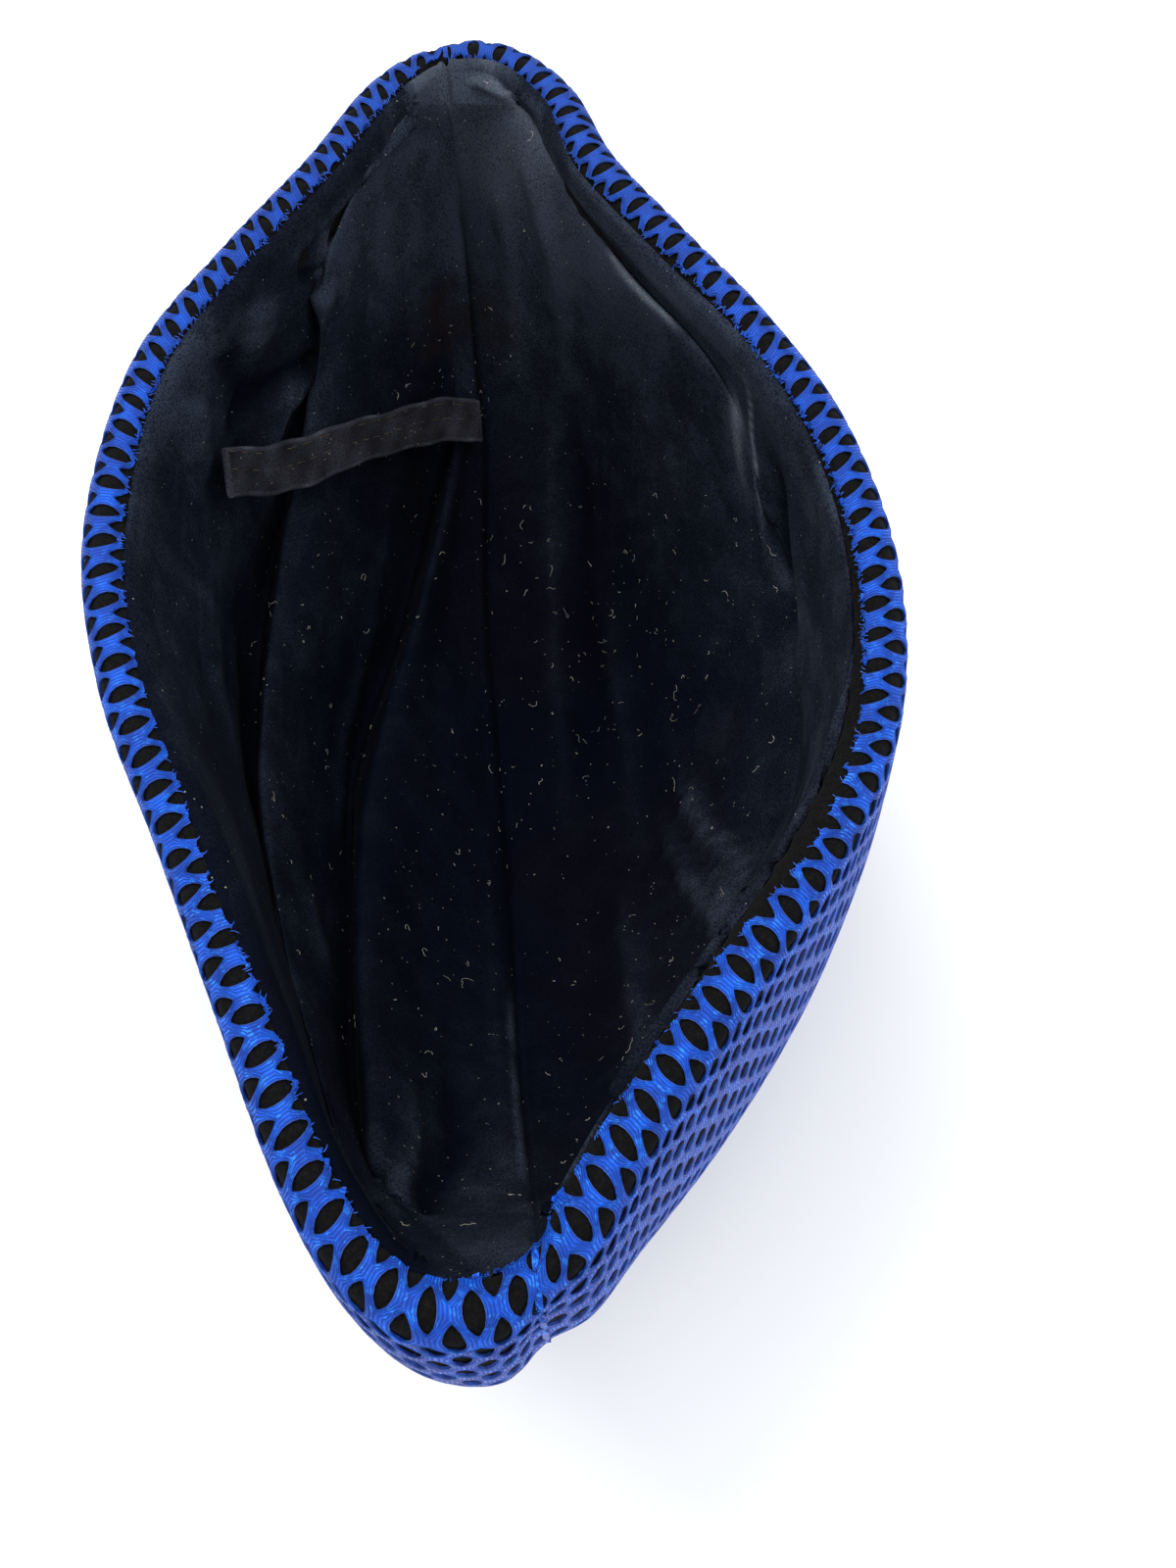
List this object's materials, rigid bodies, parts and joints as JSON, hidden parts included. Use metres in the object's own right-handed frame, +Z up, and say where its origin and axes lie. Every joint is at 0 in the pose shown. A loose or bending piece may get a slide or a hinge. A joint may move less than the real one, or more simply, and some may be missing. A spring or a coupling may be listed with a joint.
{
  "type": "chieftaincy hat",
  "caption": "Deep soft cap of two padded panels under coarse lace net, with a rolled mouth and a velvet lining that hangs in long folds.",
  "frame": {"origin": "under the middle of the hat, on the surface that its crown rests on", "axes": "+Z up out of the mouth, +Y along the seam to the far end, +X to the right"},
  "size_m": [0.1472, 0.2716, 0.1194],
  "materials": {
    "felt": "matt black padded cloth",
    "lace": "bright blue rayon lace",
    "velvet": "blue-black velvet with pale fold edges",
    "tab_velvet": "dark grey-brown velvet"
  },
  "bodies": {
    "root": {"shell_left": "felt", "shell_right": "felt", "net_left": "lace", "net_right": "lace", "lining_left": "velvet", "lining_right": "velvet", "hanging_tab": "tab_velvet"}
  },
  "joints": []
}
